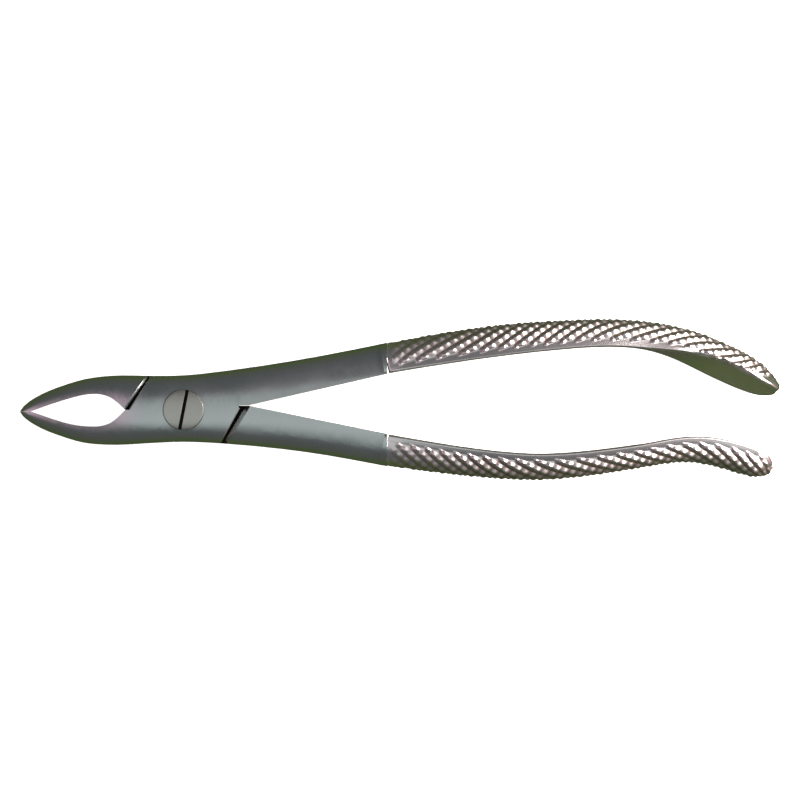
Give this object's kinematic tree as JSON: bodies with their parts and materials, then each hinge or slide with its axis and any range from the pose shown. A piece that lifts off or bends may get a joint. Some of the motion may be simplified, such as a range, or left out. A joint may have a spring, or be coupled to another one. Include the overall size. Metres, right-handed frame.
{
  "type": "dental extraction forceps",
  "caption": "Tooth extraction forceps with slim pointed beaks, a flat lap joint with a slotted screw, and long bowed handles with knurled grips that turn aside at their ends.",
  "frame": {"origin": "on the joint's axis, at the flat ground on the joint's rear face", "axes": "+X along the closed handles, away from the beaks; +Y across the tool, towards the front half's handle; +Z along the joint's axis, out of the screw's head"},
  "size_m": [0.178, 0.038, 0.0159],
  "materials": {
    "forged_steel": "satin",
    "screw_steel": "turned and brushed"
  },
  "bodies": {
    "rear_body": {"rear_half": "forged_steel", "joint_screw": "screw_steel"},
    "front_body": {"front_half": "forged_steel"}
  },
  "joints": [
    {"name": "forceps_hinge", "type": "hinge", "parent": "rear_body", "child": "front_body", "pos_m": [0, 0, 0.0045], "axis": [0, 0, 1], "range_deg": [0, 60]}
  ]
}
